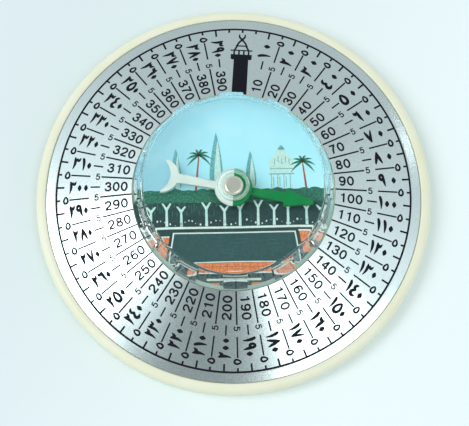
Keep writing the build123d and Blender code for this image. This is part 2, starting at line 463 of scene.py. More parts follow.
def sky_ink():
    """Printed sky that pales towards the skyline and dulls to the left, with soft thin cloud."""
    material, tree, shader, place = new_material("card_print_sky", IOR=1.45, Roughness=0.5)
    spot = node(tree, "ShaderNodeSeparateXYZ", {"Vector": place}).outputs
    depth = scaled(tree, spot["Y"], 0.0, CARD_RADIUS * MM)
    dull = scaled(tree, spot["X"], -2.0 * MM, -CARD_RADIUS * MM)
    blue = blended(tree, dull, blended(tree, depth, "#b6f3ff", "#abe7f7"), "#8fc2d3")
    veil = scaled(tree, noise(tree, place, 6.0, 4.0), 0.48, 0.75, 0.0, 0.35)
    tree.links.new(blended(tree, veil, blue, "#cdf3fb"), shader.inputs["Base Color"])
    return material


def margin_ink_painted_sky_tint():
    """Printed border of the card, grey green at the near side, with a painted sky tint towards the far side
    that stands for what the clear wall shows there.
    """
    material, tree, shader, place = new_material("card_margin_painted_sky_tint", IOR=1.45, Roughness=0.55)
    spot = node(tree, "ShaderNodeSeparateXYZ", {"Vector": place}).outputs
    # painted sky tint: the border runs from grey green to sky blue towards the far side
    depth = scaled(tree, spot["Y"], -4.0 * MM, 5.0 * MM)
    tree.links.new(blended(tree, depth, "#9fb3ab", "#b0e0ec"), shader.inputs["Base Color"])
    return material


CREAM = cream_plastic()
SILVER = silvered_sheet()
INK = black_ink()
CLEAR = clear_plastic()
HIGHLIGHT_VEIL = highlight_veil()
WHITE = white_plastic()
GREEN = green_plastic()
NICKEL = turned_metal("turned_nickel_plate", "#dfd8ca", "#e8e2d6", 0.12, 0.07, 0.12, 0.5)
BRASS = turned_metal("turned_brass", "#b08d4a", "#c09c58", 0.12, 0.25, 0.4)
STEEL = turned_metal("ground_steel", "#8e9092", "#a4a6a8", 0.1, 0.2, 0.32)


# Case
def dial_top(radius):
    """Height of the dial's printed face at a radius."""
    return DIAL_EDGE_HEIGHT + DIAL_SLOPE * (DIAL_RADIUS - radius)


def case_shell():
    """Cream tub with its recessed underside, rounded rim, ledge and the seat of the capsule."""
    inner = CASE_RADIUS - RIM_WIDTH
    ledge = inner - LEDGE_WIDTH
    seat_outer = DIAL_HOLE + SEAT_WALL
    seat_height = TRAY_TOP - TRAY_THICKNESS
    seat_bore = DRUM_RADIUS - SEAT_GAP - SEAT_WIDTH
    bed = DIAL_THICKNESS + SKIN_GAP
    outline = rounded(
        [
            (0, RECESS_DEPTH),
            (RECESS_RADIUS, RECESS_DEPTH),
            (RECESS_RADIUS, 0),
            (CASE_RADIUS, 0),
            (CASE_RADIUS, RIM_HEIGHT),
            (inner, RIM_HEIGHT),
            (inner, dial_top(inner) - bed),
            (ledge, dial_top(ledge) - bed),
            (ledge, FLOOR_TOP),
            (seat_outer, FLOOR_TOP),
            (seat_outer, dial_top(seat_outer) - bed),
            (DRUM_RADIUS, dial_top(DRUM_RADIUS) - bed),
            (DRUM_RADIUS, seat_height),
            (seat_bore, seat_height),
            (seat_bore, FLOOR_TOP),
            (0, FLOOR_TOP),
        ],
        {1: RECESS_EDGE, 2: RECESS_EDGE, 3: FOOT_RADIUS, 4: RIM_CROWN, 5: RIM_LIP},
    )
    return turned("case_shell", outline, CREAM)


def dial_face():
    """Silvered cone under the print, with a flatter margin along the rim."""
    margin = DIAL_RADIUS - DIAL_MARGIN_WIDTH
    outline = rounded(
        [
            (DIAL_HOLE, dial_top(DIAL_HOLE) - DIAL_THICKNESS),
            (DIAL_RADIUS, dial_top(DIAL_RADIUS) - DIAL_THICKNESS),
            (DIAL_RADIUS, dial_top(DIAL_RADIUS) + DIAL_MARGIN_LIFT),
            (margin, dial_top(margin)),
            (DIAL_HOLE, dial_top(DIAL_HOLE)),
        ],
        {3: DIAL_BEND},
        steps=4,
    )
    return turned("dial_face", outline, SILVER)


# Geometry Nodes: one mark repeated about the axis
def repeat_tree():
    """Copies of a shape turned about Z, by a count, a start and a step in radians, with a material."""
    tree = bpy.data.node_groups.new("repeat_about_axis", "GeometryNodeTree")
    sockets = (
        ("Shape", "NodeSocketGeometry"),
        ("Count", "NodeSocketInt"),
        ("Start", "NodeSocketFloat"),
        ("Step", "NodeSocketFloat"),
        ("Material", "NodeSocketMaterial"),
    )
    for name, kind in sockets:
        tree.interface.new_socket(name, in_out="INPUT", socket_type=kind)
    tree.interface.new_socket("Copies", in_out="OUTPUT", socket_type="NodeSocketGeometry")
    given = node(tree, "NodeGroupInput").outputs
    points = node(tree, "GeometryNodePoints", {"Count": given["Count"]})
    index = node(tree, "GeometryNodeInputIndex")
    links = {0: index.outputs["Index"], 1: given["Step"], 2: given["Start"]}
    turn = node(tree, "ShaderNodeMath", links, operation="MULTIPLY_ADD")
    heading = node(tree, "ShaderNodeCombineXYZ", {"Z": turn.outputs["Value"]})
    links = {"Points": points.outputs[0], "Instance": given["Shape"], "Rotation": heading.outputs["Vector"]}
    placed = node(tree, "GeometryNodeInstanceOnPoints", links)
    whole = node(tree, "GeometryNodeRealizeInstances", {"Geometry": placed.outputs["Instances"]})
    links = {"Geometry": whole.outputs["Geometry"], "Material": given["Material"]}
    dressed = node(tree, "GeometryNodeSetMaterial", links)
    node(tree, "NodeGroupOutput", {"Copies": dressed.outputs["Geometry"]})
    return tree


REPEAT = repeat_tree()


def repeat(piece, count, start, step, material):
    """Replace a piece's mesh by copies of it about the axis."""
    modifier = piece.modifiers.new("repeat", "NODES")
    modifier.node_group = REPEAT
    values = {"Count": count, "Start": start, "Step": step, "Material": material}
    for socket in REPEAT.interface.items_tree:
        if socket.in_out == "INPUT" and socket.name in values:
            modifier[socket.identifier] = values[socket.name]
    evaluated = piece.evaluated_get(bpy.context.evaluated_depsgraph_get())
    mesh = bpy.data.meshes.new_from_object(evaluated)
    piece.modifiers.remove(modifier)
    piece.data = mesh
    return piece


# Print on the dial
def on_dial(radius, side, lift):
    """A point of the print at the zero mark: out along +Y, and to the clockwise side along +X."""
    reach = hypot(radius, side)
    return Vector((side, radius, dial_top(reach) + lift))


def pen(bm, path, place, closed=False):
    """A stroke of ink along (x, y, width) points, laid where place puts each point, with a flat section."""
    stations = []
    count = len(path)
    for i, (x, y, width) in enumerate(path):
        before = path[(i - 1) % count] if closed or i else path[0]
        after = path[(i + 1) % count] if closed or i < count - 1 else path[-1]
        along = Vector((after[0] - before[0], after[1] - before[1])).normalized()
        off = Vector((-along.y, along.x)) * width / 2
        corners = ((x + off.x, y + off.y), (x - off.x, y - off.y))
        tops = [bm.verts.new(place(u, v, INK_HEIGHT)) for u, v in corners]
        feet = [bm.verts.new(place(u, v, 0.0)) for u, v in corners]
        stations.append([tops[0], tops[1], feet[1], feet[0]])
    join(bm, stations, closed)


def smooth_path(points, closed=False, steps=5):
    """A smooth curve through (x, y, width) points."""
    if len(points) == 2:
        return points
    count = len(points)
    path = []
    for i in range(count if closed else count - 1):
        around = [i + k for k in (-1, 0, 1, 2)]
        places = [k % count if closed else max(0, min(count - 1, k)) for k in around]
        p0, p1, p2, p3 = (Vector(points[k]) for k in places)
        for k in range(steps):
            t = k / steps
            bend = 2 * p1 + (p2 - p0) * t + (2 * p0 - 5 * p1 + 4 * p2 - p3) * t**2
            path.append(tuple((bend + (3 * p1 - p0 - 3 * p2 + p3) * t**3) / 2))
    if not closed:
        path.append(tuple(points[-1]))
    return path


def oval(x, y, across, up, width=0.15):
    """A closed oval stroke about a centre."""
    turns = [k * pi / 4 for k in range(8)]
    return True, [(x + across * cos(a), y + up * sin(a), width) for a in turns]


def line(*points, width=0.15):
    """An open stroke of one width through (x, y) points."""
    return False, [(x, y, width) for x, y in points]


def brush(*points, closed=False):
    """A stroke through (x, y, width) points."""
    return closed, list(points)


# Figures as pen strokes in a box one unit high. Western ones share a width, Eastern ones have their own.
SIX = line(
    (0.61, 0.78), (0.53, 0.9), (0.38, 0.935), (0.19, 0.82), (0.1, 0.5), (0.12, 0.24), (0.24, 0.09),
    (0.38, 0.065), (0.56, 0.13), (0.64, 0.32), (0.56, 0.51), (0.39, 0.58), (0.22, 0.52), (0.12, 0.38),
)
WESTERN = {
    0: [oval(0.37, 0.5, 0.28, 0.435)],
    1: [line((0.45, 0.0), (0.45, 1.0)), line((0.45, 0.93), (0.34, 0.82), (0.16, 0.77), width=0.12)],
    2: [
        line(
            (0.09, 0.69), (0.13, 0.84), (0.24, 0.92), (0.38, 0.935), (0.55, 0.88), (0.63, 0.71),
            (0.55, 0.52), (0.35, 0.35), (0.17, 0.2), (0.09, 0.04),
        ),
        line((0.05, 0.07), (0.69, 0.07), width=0.14),
    ],
    3: [
        line(
            (0.1, 0.72), (0.18, 0.88), (0.37, 0.935), (0.55, 0.87), (0.58, 0.7), (0.48, 0.56),
            (0.28, 0.525),
        ),
        line(
            (0.28, 0.525), (0.5, 0.5), (0.63, 0.39), (0.64, 0.24), (0.53, 0.1), (0.36, 0.065), (0.17, 0.11),
            (0.07, 0.3),
        ),
    ],
    4: [
        line((0.51, 0.0), (0.51, 1.0)),
        line((0.5, 0.95), (0.09, 0.3), width=0.13),
        line((0.04, 0.28), (0.7, 0.28), width=0.14),
    ],
    5: [
        line((0.15, 0.935), (0.63, 0.935), width=0.13),
        line((0.18, 0.95), (0.12, 0.46), width=0.14),
        line(
            (0.12, 0.5), (0.23, 0.6), (0.38, 0.625), (0.57, 0.54), (0.64, 0.34), (0.57, 0.15), (0.38, 0.065),
            (0.18, 0.11), (0.07, 0.28),
        ),
    ],
    6: [SIX],
    7: [
        line((0.06, 0.93), (0.69, 0.93), width=0.14),
        line((0.63, 0.93), (0.43, 0.62), (0.31, 0.3), (0.27, 0.0)),
    ],
    8: [oval(0.37, 0.735, 0.22, 0.2), oval(0.37, 0.28, 0.27, 0.215)],
    9: [(False, [(0.74 - x, 1 - y, w) for x, y, w in SIX[1]])],
}
WESTERN_ADVANCE = 0.86
WESTERN_GAP = 0.12
EASTERN_SPREAD = 0.45
EASTERN_BOLD = 1.12
BOLD = 1.28

EASTERN_WIDTHS = (0.7, 0.6, 0.72, 0.84, 0.72, 0.82, 0.66, 0.78, 0.78, 0.68)
EASTERN = {
    0: [
        brush(
            (0.1, 0.45, 0.04), (0.15, 0.45, 0.15), (0.22, 0.45, 0.28), (0.31, 0.45, 0.35),
            (0.4, 0.45, 0.28), (0.47, 0.45, 0.15), (0.52, 0.45, 0.04),
        ),
    ],
    1: [brush((0.13, 1.0, 0.12), (0.27, 0.8, 0.2), (0.36, 0.42, 0.17), (0.36, 0.0, 0.05))],
    2: [
        brush((0.1, 1.0, 0.06), (0.2, 0.8, 0.2), (0.24, 0.45, 0.19), (0.14, 0.0, 0.05)),
        brush((0.14, 0.92, 0.12), (0.28, 0.77, 0.19), (0.45, 0.76, 0.19), (0.6, 0.98, 0.05)),
    ],
    3: [
        brush((0.1, 1.0, 0.06), (0.19, 0.8, 0.19), (0.22, 0.45, 0.19), (0.1, 0.0, 0.05)),
        brush((0.14, 0.92, 0.12), (0.24, 0.78, 0.17), (0.36, 0.8, 0.16), (0.42, 0.95, 0.06)),
        brush((0.38, 0.86, 0.08), (0.48, 0.77, 0.17), (0.62, 0.79, 0.17), (0.74, 0.99, 0.05)),
    ],
    4: [
        brush(
            (0.48, 1.0, 0.05), (0.32, 0.92, 0.15), (0.2, 0.78, 0.19), (0.28, 0.63, 0.17), (0.46, 0.57, 0.08)
        ),
        brush(
            (0.46, 0.58, 0.1), (0.25, 0.47, 0.17), (0.12, 0.24, 0.2), (0.32, 0.08, 0.19), (0.64, 0.14, 0.05)
        ),
    ],
    5: [
        brush(
            (0.42, 0.9, 0.14), (0.6, 0.72, 0.17), (0.69, 0.42, 0.19), (0.58, 0.16, 0.19),
            (0.36, 0.09, 0.19), (0.16, 0.2, 0.19), (0.12, 0.46, 0.18), (0.25, 0.74, 0.16),
            closed=True,
        ),
    ],
    6: [
        brush((0.06, 0.98, 0.05), (0.16, 0.82, 0.19), (0.36, 0.8, 0.19), (0.54, 0.9, 0.1)),
        brush((0.5, 1.0, 0.06), (0.48, 0.72, 0.19), (0.5, 0.4, 0.19), (0.6, 0.0, 0.05)),
    ],
    7: [
        brush((0.06, 1.0, 0.08), (0.22, 0.6, 0.2), (0.4, 0.02, 0.1)),
        brush((0.72, 1.0, 0.06), (0.54, 0.6, 0.16), (0.4, 0.02, 0.1)),
    ],
    8: [
        brush((0.4, 0.98, 0.1), (0.24, 0.42, 0.2), (0.06, 0.0, 0.08)),
        brush((0.38, 0.98, 0.1), (0.56, 0.42, 0.2), (0.74, 0.0, 0.06)),
    ],
    9: [
        oval(0.28, 0.72, 0.17, 0.19, 0.17),
        brush((0.46, 0.86, 0.08), (0.46, 0.6, 0.18), (0.5, 0.35, 0.18), (0.6, 0.0, 0.05)),
    ],
}


def western_figure(digits):
    """Strokes of a Western number and its length in units."""
    strokes = []
    for k, digit in enumerate(digits):
        for closed, points in WESTERN[digit]:
            strokes.append((closed, [(x + k * WESTERN_ADVANCE, y, w) for x, y, w in points]))
    return strokes, len(digits) * WESTERN_ADVANCE - WESTERN_GAP


def eastern_figure(digits):
    """Strokes of an Eastern Arabic number and its length in units."""
    strokes = []
    start = 0.0
    spread = EASTERN_SPREAD if len(digits) == 2 else 0.0
    for digit in digits:
        for closed, points in EASTERN[digit]:
            strokes.append((closed, [(x + start, y, w * EASTERN_BOLD) for x, y, w in points]))
        start += EASTERN_WIDTHS[digit] + spread
    return strokes, start - spread


def write_figure(bm, figure, inner, outer, height, heading, outwards):
    """Write a figure between two radii at a heading, read outwards or inwards, with digits of a height."""
    strokes, length = figure
    stretch = (outer - inner) / length
    turn = Matrix.Rotation(-heading, 3, "Z")

    def place(x, y, lift):
        if outwards:
            return turn @ on_dial(inner + x * stretch, (0.5 - y) * height, lift)
        return turn @ on_dial(outer - x * stretch, (y - 0.5) * height, lift)

    for closed, points in strokes:
        bold = [(x, y, width * BOLD) for x, y, width in points]
        pen(bm, smooth_path(bold, closed), place, closed)


def mark(name, inner, outer, width, count, start):
    """A radial line repeated at every division of the dial, from a first division."""
    bm = bmesh.new()
    pen(bm, [(inner, 0.0, width), (outer, 0.0, width)], on_dial)
    piece = finished(name, bm, INK)
    return repeat(piece, count, -start * DIVISION, -DIVISION, INK)


def small_five(name, figure, inner, outer, height, outwards):
    """The small five of a half division, repeated over the half of the dial that reads one way."""
    bm = bmesh.new()
    write_figure(bm, figure, inner, outer, height, 0.0, outwards)
    piece = finished(name, bm, INK)
    half = DIVISIONS // 2
    first = 1.5 if outwards else half + 0.5
    return repeat(piece, half - 1, -first * DIVISION, -DIVISION, INK)


def dial_ring():
    """The ring that the divisions hang from."""
    inner = RING_RADIUS - RING_WIDTH / 2
    outer = RING_RADIUS + RING_WIDTH / 2
    outline = [
        (inner, dial_top(inner)),
        (outer, dial_top(outer)),
        (outer, dial_top(outer) + INK_HEIGHT),
        (inner, dial_top(inner) + INK_HEIGHT),
    ]
    return turned("dial_ring", outline, INK)


# Radii of the print
EASTERN_SPAN = (22.05, 25.25)
EASTERN_HEIGHT = 1.95
EASTERN_SHIFT = 0.2
EASTERN_STRETCH = 0.84
WESTERN_INNER = 16.12
WESTERN_HEIGHT = 1.42
WESTERN_DIGIT = 1.22
WESTERN_TRIM = 0.1
DASH_SPAN = (20.4, 21.9)
OUTER_LINE_SPAN = (22.1, 25.15)
INNER_LINE_SPAN = (15.5, 20.35)
SMALL_EASTERN_SPAN = (25.25, 26.15)
SMALL_EASTERN_HEIGHT = 1.2
SMALL_WESTERN_SPAN = (20.55, 21.25)
SMALL_WESTERN_HEIGHT = 0.98

# Index at zero: radii of its storeys, its pen widths, and a horn of the crescent as rise, reach and width
TOWER_SHAFT = 21.72
TOWER_BALCONY = 22.62
TOWER_EAVES = 23.28
TOWER_LANTERN = 24.1
TOWER_GAP = 0.02
TOWER_LEDGE = 0.12
TOWER_RAIL = 0.18
TOWER_PEN = 0.26
TOWER_INK = 3
TOWER_HORN = (
    (0.0, 0.74, TOWER_PEN), (0.42, 0.62, TOWER_PEN), (0.85, 0.34, TOWER_PEN), (1.25, -0.02, 0.28),
    (1.7, -0.4, 0.28), (2.2, -0.44, 0.16),
)


def number_pieces():
    """The numbers of the divisions, ten to three hundred and ninety, in both kinds of figures."""
    western = bmesh.new()
    eastern = bmesh.new()
    for division in range(1, DIVISIONS):
        digits = [int(c) for c in str(division * 10)]
        heading = division * DIVISION
        outwards = division < DIVISIONS // 2
        figure = western_figure(digits)
        span = (WESTERN_INNER, WESTERN_INNER + len(digits) * WESTERN_DIGIT - WESTERN_TRIM)
        write_figure(western, figure, *span, WESTERN_HEIGHT, heading, outwards)
        figure = eastern_figure(digits)
        middle = sum(EASTERN_SPAN) / 2 + (EASTERN_SHIFT if len(digits) == 2 else 0.0)
        length = figure[1] * EASTERN_HEIGHT * EASTERN_STRETCH
        half = min(length, EASTERN_SPAN[1] - EASTERN_SPAN[0]) / 2
        write_figure(eastern, figure, middle - half, middle + half, EASTERN_HEIGHT, heading, outwards)
    return [finished("dial_numbers_western", western, INK), finished("dial_numbers_eastern", eastern, INK)]


def tower_mark():
    """Index at zero: a plain tower with a balcony, a row of windows, an open lantern and a crescent."""
    bm = bmesh.new()

    def raised(radius, side, lift):
        """Thicker ink, so that wide bars clear the cone's bulge between their ends."""
        return on_dial(radius, side, TOWER_INK * lift)

    def bar(inner, outer, inner_width, outer_width, side=0.0):
        pen(bm, [(inner, side, inner_width), (outer, side, outer_width)], raised)

    ledge = TOWER_SHAFT + TOWER_LEDGE
    bar(DIAL_HOLE + TOWER_GAP, TOWER_SHAFT, 2.3, 2.25)
    bar(TOWER_SHAFT, ledge, 2.9, 3.25)
    bar(ledge, TOWER_BALCONY, 3.25, 3.3)
    for side in (-1.13, -0.38, 0.38, 1.13):
        bar(TOWER_BALCONY, TOWER_EAVES, TOWER_PEN, TOWER_PEN, side)
    bar(TOWER_EAVES, TOWER_EAVES + TOWER_RAIL, 3.4, 3.4)
    bar(TOWER_LANTERN, TOWER_LANTERN + TOWER_RAIL, 1.85, 1.85)
    for side in (-1, 1):
        post = [(TOWER_EAVES + 0.1, side * 1.1, TOWER_PEN), (TOWER_LANTERN, side * 0.74, TOWER_PEN)]
        horn = [(TOWER_LANTERN + rise, side * reach, width) for rise, reach, width in TOWER_HORN]
        pen(bm, post, raised)
        pen(bm, smooth_path(horn), raised)
    return finished("dial_tower_mark", bm, INK)


def dial_print():
    """Every printed piece of the dial."""
    pieces = [
        dial_ring(),
        mark("dial_number_ticks", NUMBER_TICK_END, RING_RADIUS, TICK_WIDTH, DIVISIONS - 1, 1.0),
        mark("dial_five_ticks", FIVE_TICK_END, RING_RADIUS, TICK_WIDTH, DIVISIONS, 0.5),
        mark("dial_dashes", *DASH_SPAN, LINE_WIDTH, DIVISIONS - 1, 1.0),
        mark("dial_zero_tick", FIVE_TICK_END, RING_RADIUS, TICK_WIDTH, 1, 0.0),
        mark("dial_outer_lines", *OUTER_LINE_SPAN, LINE_WIDTH, DIVISIONS - 2, 1.5),
        mark("dial_inner_lines", *INNER_LINE_SPAN, LINE_WIDTH, DIVISIONS - 2, 1.5),
        tower_mark(),
    ]
    fives = (
        ("dial_eastern_fives_", eastern_figure([5]), SMALL_EASTERN_SPAN, SMALL_EASTERN_HEIGHT),
        ("dial_western_fives_", western_figure([5]), SMALL_WESTERN_SPAN, SMALL_WESTERN_HEIGHT),
    )
    for outwards, half in ((True, "right"), (False, "left")):
        for name, figure, span, height in fives:
            pieces.append(small_five(name + half, figure, *span, height, outwards))
    return pieces + number_pieces()


# Capsule
def rib_face(height):
    """Radius over the drum's ribs at a height."""
    return DRUM_RADIUS - DRUM_DRAFT * (height - DRUM_FOOT) / (DRUM_TOP - DRUM_CROWN - DRUM_FOOT)


def drum_outline(depth):
    """Outline of the drum where its ribs stand out by a depth, with as many points for any depth."""
    edge_height = DRUM_TOP - DRUM_CROWN
    underside = edge_height - LID_THICKNESS
    foot_top = DRUM_FOOT + DRUM_FOOT_HEIGHT
    rib_top = edge_height - DRUM_RIB_STEP
    foot = DRUM_FOOT + DRUM_LIFT
    behind = DRUM_RIB_DEPTH + DRUM_WALL
    boss = BOSS_BORE + BOSS_WALL
    boss_bottom = HUB_TOP + BOSS_GAP
    inside = rounded(
        [
            (0, underside),
            (BOSS_BORE, underside),
            (BOSS_BORE, boss_bottom),
            (boss, boss_bottom),
            (boss, underside),
            (rib_face(underside) - behind, underside),
            (rib_face(foot) - behind, foot),
            (rib_face(foot), foot),
            (rib_face(foot_top), foot_top),
        ],
        {2: BOSS_EDGE, 3: BOSS_EDGE, 4: BOSS_ROOT},
    )[:-1]
    steps = 5
    turns = [pi / 2 * k / steps for k in range(steps + 1)]
    start = rib_face(foot_top)
    wall = [(start, foot_top), (start - DRUM_RIB_DEPTH + depth, foot_top + DRUM_STEP)]
    for turn in turns:
        height = rib_top - DRUM_EDGE * (1 - sin(turn))
        reach = min(depth, max(0.0, depth - DRUM_EDGE * (1 - cos(turn))))
        wall.append((rib_face(height) - DRUM_RIB_DEPTH + reach, height))
    edge = rib_face(edge_height) - DRUM_RIB_DEPTH
    for turn in turns:
        height = edge_height - DRUM_EDGE * (1 - sin(turn)) + DRUM_STEP
        wall.append((edge - DRUM_EDGE * (1 - cos(turn)), height))
    crown_edge = edge - DRUM_EDGE
    crown = []
    rings = 8
    for k in range(1, rings + 1):
        radius = crown_edge * (1 - k / rings)
        crown.append((radius, edge_height + DRUM_STEP + DRUM_CROWN * (1 - (radius / crown_edge) ** 2)))
    return inside + wall + crown


def capsule_window():
    """Clear drum: crowned top, drafted wall with ribs that stand on a foot, and a boss over the hub."""
    gap = drum_outline(0.0)
    rib = drum_outline(DRUM_RIB_DEPTH)
    pitch = 2 * pi / DRUM_RIB_COUNT
    steps = 7
    stations = []
    for k in range(DRUM_RIB_COUNT):
        start = CAPSULE_TURN + k * pitch - DRUM_RIB_ANGLE / 2
        width = DRUM_RIB_ANGLE - 2 * DRUM_RIB_FLANK
        stations += [(start + DRUM_RIB_FLANK + width * i / steps, rib) for i in range(steps + 1)]
        start += DRUM_RIB_ANGLE
        width = pitch - DRUM_RIB_ANGLE
        stations += [(start + width * i / steps, gap) for i in range(steps + 1)]
    bm = bmesh.new()
    bridge(bm, stations, True)
    return finished("capsule_window", bm, CLEAR, sharp=25)


def boss_highlight_veil():
    """Thin pale veil a hair below the boss's end face: a painted highlight round the hub."""
    inner = BOSS_BORE + BOSS_FACE_INSET
    outer = BOSS_BORE + BOSS_WALL - BOSS_FACE_INSET
    high = HUB_TOP + BOSS_GAP - BOSS_FACE_GAP
    low = high - BOSS_FACE_THICKNESS
    return turned("boss_highlight_veil", band(inner, outer, low, high), HIGHLIGHT_VEIL, SMALL_SEGMENTS)


# Needle
def hub_half(bm):
    """Half of the hub on the arm's side, stepped on top. The plane between the halves is a little turned."""
    step = HUB_TOP - HUB_STEP_DROP
    outline = rounded(
        [
            (CUP_BODY_RADIUS, HUB_TOP),
            (CUP_BODY_RADIUS, HUB_TOP - HUB_WEB),
            (HUB_RADIUS - HUB_WALL, HUB_TOP - HUB_WEB),
            (HUB_RADIUS - HUB_WALL, HUB_BOTTOM),
            (HUB_RADIUS - HUB_DRAFT, HUB_BOTTOM),
            (HUB_RADIUS, HUB_BOTTOM + HUB_DRAFT_HEIGHT),
            (HUB_RADIUS, step),
            (HUB_RADIUS - HUB_STEP_WIDTH, step),
            (HUB_RADIUS - HUB_STEP_WIDTH, HUB_TOP),
        ],
        {6: HUB_SHOULDER, 7: HUB_STEP_ROOT, 8: HUB_EDGE},
    )
    turn_outline(bm, outline, HUB_SPLIT_TURN - pi / 2, pi, HUB_SEGMENTS)


def needle_arm(bm, outline):
    """A flat arm with rounded edges on top."""
    top = plate(bm, outline, ARM_BOTTOM, ARM_BOTTOM + ARM_THICKNESS)
    rim = set(top)
    edges = [e for e in bm.edges if e.verts[0] in rim and e.verts[1] in rim]
    bmesh.ops.bevel(
        bm, geom=edges, offset=ARM_EDGE, segments=3, profile=0.5, affect="EDGES", clamp_overlap=True
    )


def arrow_half():
    """Green half of the needle."""
    bm = bmesh.new()
    base = ARROW_REACH - ARROW_HEAD_LENGTH
    outline = rounded(
        [
            (ARM_START, -ARM_WIDTH / 2),
            (base, -ARM_WIDTH / 2),
            (base, -ARROW_HEAD_WIDTH / 2),
            (ARROW_REACH, -ARROW_TIP_WIDTH / 2),
            (ARROW_REACH, ARROW_TIP_WIDTH / 2),
            (base, ARROW_HEAD_WIDTH / 2),
            (base, ARM_WIDTH / 2),
            (ARM_START, ARM_WIDTH / 2),
        ],
        {2: ARROW_BARB_EDGE, 3: ARROW_TIP_EDGE, 4: ARROW_TIP_EDGE, 5: ARROW_BARB_EDGE},
        steps=3,
    )
    needle_arm(bm, outline)
    hub_half(bm)
    spin(bm, NEEDLE_TURN)
    return finished("arrow_half", bm, GREEN)


def crescent_half():
    """White half of the needle: its crescent has rounded tips and opens away from the hub."""
    bm = bmesh.new()
    apart = CRESCENT_HOLLOW_RADIUS - CRESCENT_HOLLOW_DEPTH
    reach = CRESCENT_RADIUS - CRESCENT_TIP
    tip_x = (reach**2 - (CRESCENT_HOLLOW_RADIUS + CRESCENT_TIP) ** 2 + apart**2) / (2 * apart)
    tip = Vector((tip_x, -((reach**2 - tip_x**2) ** 0.5)))
    back_end = atan2(tip.y, tip.x) + 2 * pi
    hollow_end = atan2(tip.y, tip.x - apart) + 2 * pi
    arm_half = ARM_WIDTH / 2 / CRESCENT_RADIUS
    steps = 14
    tip_steps = 6
    whole = [k / steps for k in range(steps + 1)]
    between = [k / tip_steps for k in range(1, tip_steps)]
    lower = arc(0, 0, CRESCENT_RADIUS, pi + arm_half, back_end, whole)
    lower += arc(tip.x, tip.y, CRESCENT_TIP, back_end, hollow_end + pi, between)
    lower += arc(apart, 0, CRESCENT_HOLLOW_RADIUS, hollow_end, pi, whole)
    outline = [(ARM_START, -ARM_WIDTH / 2)] + [(CRESCENT_CENTRE + x, y) for x, y in lower]
    outline += [(x, -y) for x, y in reversed(outline[:-1])]
    needle_arm(bm, outline)
    hub_half(bm)
    spin(bm, pi)
    spin(bm, NEEDLE_TURN)
    return finished("crescent_half", bm, WHITE)


def cup_cap():
    """Domed nickel flange of the cup, with the cup's body below it."""
    outline = [
        (0, HUB_TOP - CUP_FLOOR),
        (CUP_BORE, HUB_TOP - CUP_FLOOR),
        (CUP_BORE, HUB_BOTTOM),
        (CUP_BODY_RADIUS, HUB_BOTTOM),
        (CUP_BODY_RADIUS, HUB_TOP),
        (CUP_RADIUS, HUB_TOP),
        (CUP_RADIUS, CUP_TOP - CUP_CROWN - CUP_LIP),
    ]
    steps = 16
    for k in range(steps + 1):
        radius = (CUP_RADIUS - CUP_EDGE) * (1 - k / steps)
        outline.append((radius, CUP_TOP - CUP_CROWN * (radius / CUP_RADIUS) ** CUP_FLATNESS))
    return turned("cup_cap", outline, NICKEL, SMALL_SEGMENTS)


# Picture on the card
LAYER = 0.004
CARD_HOLE = 1.3
CARD_MARGIN = 0.6
MARGIN_LAYERS = 6
MARGIN_START = radians(212)
MARGIN_SWEEP = radians(313)


def clipped(outline, radius, sides=CARD_SEGMENTS):
    """An outline cut to a round card."""
    for k in range(sides):
        angle = 2 * pi * (k + 0.5) / sides
        normal = Vector((cos(angle), sin(angle)))
        limit = radius * cos(pi / sides)
        kept = []
        for i, point in enumerate(outline):
            a = Vector(outline[i - 1])
            b = Vector(point)
            da = a.dot(normal) - limit
            db = b.dot(normal) - limit
            if da * db < 0:
                kept.append(tuple(a.lerp(b, da / (da - db))))
            if db <= 0:
                kept.append(tuple(b))
        outline = kept
        if len(outline) < 3:
            return []
    return outline


def patches(name, material, layer, outlines):
    """Flat areas of one printed colour, each layer of ink a little above the last."""
    bm = bmesh.new()
    turn = Matrix.Rotation(CAPSULE_TURN, 2)
    bottom = CARD_TOP + layer * LAYER
    for outline in outlines:
        cut = clipped(outline, CARD_RADIUS)
        if cut:
            plate(bm, [tuple(turn @ Vector(p)) for p in cut], bottom, bottom + LAYER)
    return finished("picture_" + name, bm, material)


def block(x, y, width, height):
    """A rectangle by its lower left corner."""
    return [(x, y), (x + width, y), (x + width, y + height), (x, y + height)]


def dome(x, y, half, height, steps=10):
    """An onion dome standing on a line, from a formula that swells and then draws to a point."""
    side = []
    for k in range(steps + 1):
        t = k / steps
        swell = 1 + 0.35 * sin(pi * min(1, 2 * t)) * (1 - t)
        side.append((half * swell * (1 - t**2.2), y + height * t))
    return [(x + w, h) for w, h in side] + [(x - w, h) for w, h in reversed(side[:-1])]


def cypress(x, y, half, height, steps=12):
    """A slender cypress: fullest low down and drawn to a point."""
    side = [(half * sin(pi * (k / steps) ** 0.5) ** 0.8, y + height * k / steps) for k in range(1, steps)]
    right = [(x + w, h) for w, h in side]
    left = [(x - w, h) for w, h in reversed(side)]
    return [(x, y)] + right + [(x, y + height)] + left


def frond(x, y, angle, length, droop, width, steps=7):
    """A palm leaf that bends down under its weight."""
    spine = []
    for k in range(steps + 1):
        t = k / steps
        spine.append(Vector((x + length * t * cos(angle), y + length * t * sin(angle) - droop * t * t)))
    upper = []
    lower = []
    for k, point in enumerate(spine):
        along = (spine[min(k + 1, steps)] - spine[max(k - 1, 0)]).normalized()
        off = Vector((-along.y, along.x)) * (0.03 + width * sin(pi * (k / steps) ** 0.7))
        upper.append(tuple(point + off))
        lower.append(tuple(point - off * 0.7))
    return lower + upper[::-1]


def hedge(low, top, bump, pitch, left, right):
    """A row of clipped bushes: a straight foot and a top of round bumps that differ a little."""
    count = int((right - left) / 0.12)
    crest = []
    for k in range(count + 1):
        x = left + (right - left) * k / count
        round_top = abs(sin(pi * x / pitch)) ** 0.6 + 0.35 * sin(2.3 * x / pitch)
        crest.append((x, top + bump * round_top))
    return [(left, low), (right, low)] + crest[::-1]


